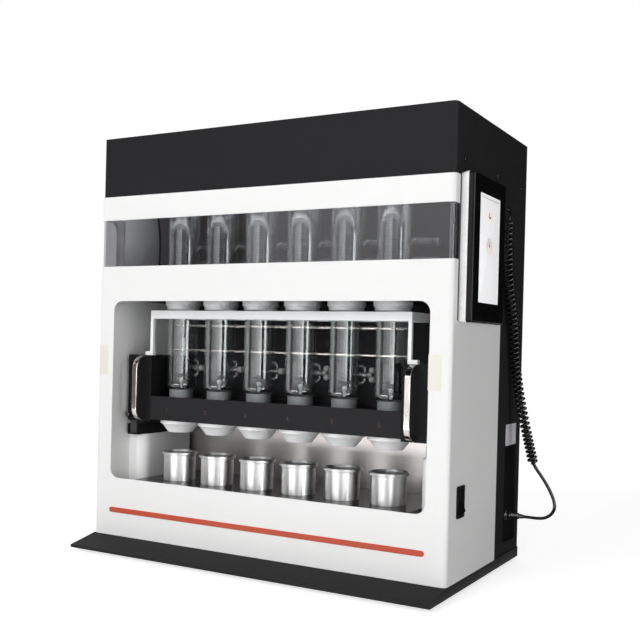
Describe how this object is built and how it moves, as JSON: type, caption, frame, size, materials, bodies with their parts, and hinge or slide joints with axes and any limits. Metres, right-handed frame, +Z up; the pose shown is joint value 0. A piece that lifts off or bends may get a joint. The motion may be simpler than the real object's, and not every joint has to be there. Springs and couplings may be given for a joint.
{
  "type": "automatic soxhlet extractor",
  "caption": "Bench solvent extractor: white and black cabinet, pull-out glass rack over lifting heated cups, coil condensers behind a smoked window, and a corded controller.",
  "frame": {"origin": "middle of the footprint without the cord, at the underside of the rubber feet", "axes": "+X to the viewer's right, +Y from the open bay to the back, +Z up"},
  "size_m": [0.7936, 0.446, 0.763],
  "materials": {
    "white_paint": "smooth white powder coat",
    "black_paint": "fine black powder coat",
    "charcoal_paint": "satin charcoal coat",
    "rubber_black": "matt rubber",
    "smoked_pane": "smoked clear sheet",
    "accent_paint": "orange-red trim",
    "stainless": "brushed stainless",
    "clear_glass": "clear laboratory glass",
    "hose_silicone": "milky silicone hose",
    "collar_plastic": "light grey moulding",
    "ptfe": "white fluoropolymer",
    "brass_metal": "turned brass",
    "motor_black": "black motor can",
    "ground_steel": "ground steel rod",
    "grey_steel": "grey sheet",
    "black_plastic": "black moulding",
    "gloss_black": "gloss black moulding",
    "white_plastic": "white moulding",
    "screen_glass": "pale display",
    "chrome_metal": "bright chrome",
    "plug_metal": "satin nickel",
    "runner_plastic": "grey slide moulding",
    "plate_ceramic": "dark glossy ceramic plate",
    "cup_aluminium": "satin spun aluminium"
  },
  "bodies": {
    "cabinet": {"base_plate": "charcoal_paint", "rubber_feet": "rubber_black", "front_shell": "white_paint", "top_cover": "black_paint", "rear_panel": "black_paint", "condenser_window": "smoked_pane", "accent_strip": "accent_paint", "bay_sides": "white_paint", "splash_panel": "stainless", "bay_back": "black_paint", "bay_ceiling": "black_paint", "rail_pedestals": "white_paint", "guide_rails": "black_paint", "condenser_collars": "collar_plastic", "condenser_jackets": "clear_glass", "condenser_coils": "clear_glass", "water_manifolds": "stainless", "water_hoses": "hose_silicone", "water_ports": "brass_metal", "lift_motor": "motor_black", "guide_rods": "ground_steel", "power_control_box": "grey_steel", "fan_frame": "black_plastic", "mains_inlet": "black_plastic", "switch_frame": "black_plastic", "controller_dock": "black_plastic", "jack_socket": "chrome_metal", "coiled_cord": "gloss_black", "cord_plug": "plug_metal"},
    "glass_rack": {"rack_tray": "charcoal_paint", "rack_cheeks": "black_paint", "grab_handles": "chrome_metal", "glass_frame": "white_paint", "cup_seals": "ptfe", "rack_runners": "runner_plastic", "side_arm_caps": "ptfe", "thimble_holders": "clear_glass", "extraction_tube_1": "clear_glass", "extraction_tube_2": "clear_glass", "extraction_tube_3": "clear_glass", "extraction_tube_4": "clear_glass", "extraction_tube_5": "clear_glass", "extraction_tube_6": "clear_glass"},
    "rack_lock": {"lock_knob": "chrome_metal"},
    "heater": {"heating_plate": "plate_ceramic", "lift_bracket": "grey_steel", "lift_nut": "brass_metal"},
    "screw": {"lead_screw": "stainless"},
    "fan": {"fan_rotor": "black_plastic"},
    "rocker": {"power_rocker": "gloss_black"},
    "controller": {"controller_back": "white_plastic", "controller_bezel": "gloss_black", "controller_screen": "screen_glass", "controller_gland": "rubber_black"},
    "cup_1_body": {"cup_1": "cup_aluminium"},
    "cup_2_body": {"cup_2": "cup_aluminium"},
    "cup_3_body": {"cup_3": "cup_aluminium"},
    "cup_4_body": {"cup_4": "cup_aluminium"},
    "cup_5_body": {"cup_5": "cup_aluminium"},
    "cup_6_body": {"cup_6": "cup_aluminium"}
  },
  "joints": [
    {"name": "rack_slide", "type": "slide", "parent": "cabinet", "child": "glass_rack", "axis": [0, -1, 0], "range_m": [0, 0.12]},
    {"name": "lock_turn", "type": "hinge", "parent": "glass_rack", "child": "rack_lock", "pos_m": [-0.3175, -0.124, 0.248], "axis": [0, 1, 0], "range_deg": [0, 90]},
    {"name": "heater_lift", "type": "slide", "parent": "cabinet", "child": "heater", "axis": [0, 0, 1], "range_m": [0, 0.044]},
    {"name": "screw_spin", "type": "hinge", "parent": "cabinet", "child": "screw", "pos_m": [-0.0115, -0.032, 0.063], "axis": [0, 0, 1], "range_deg": [0, 1980.1]},
    {"name": "cup_1_pull", "type": "slide", "parent": "heater", "child": "cup_1_body", "axis": [0, -0.994, 0.1093], "range_m": [0, 0.21]},
    {"name": "cup_2_pull", "type": "slide", "parent": "heater", "child": "cup_2_body", "axis": [0, -0.994, 0.1093], "range_m": [0, 0.21]},
    {"name": "cup_3_pull", "type": "slide", "parent": "heater", "child": "cup_3_body", "axis": [0, -0.994, 0.1093], "range_m": [0, 0.21]},
    {"name": "cup_4_pull", "type": "slide", "parent": "heater", "child": "cup_4_body", "axis": [0, -0.994, 0.1093], "range_m": [0, 0.21]},
    {"name": "cup_5_pull", "type": "slide", "parent": "heater", "child": "cup_5_body", "axis": [0, -0.994, 0.1093], "range_m": [0, 0.21]},
    {"name": "cup_6_pull", "type": "slide", "parent": "heater", "child": "cup_6_body", "axis": [0, -0.994, 0.1093], "range_m": [0, 0.21]},
    {"name": "fan_spin", "type": "hinge", "parent": "cabinet", "child": "fan", "pos_m": [-0.1915, 0.178, 0.336], "axis": [0, 1, 0], "continuous": true},
    {"name": "rocker_tilt", "type": "hinge", "parent": "cabinet", "child": "rocker", "pos_m": [0.338, -0.11, 0.148], "axis": [0, 1, 0], "range_deg": [0, 20]},
    {"name": "controller_undock", "type": "slide", "parent": "cabinet", "child": "controller", "axis": [1, 0, 0], "range_m": [0, 0.06]}
  ],
  "couplings": [
    {"joint": "screw_spin", "follows": "heater_lift", "rad_per_m": 785.4}
  ]
}
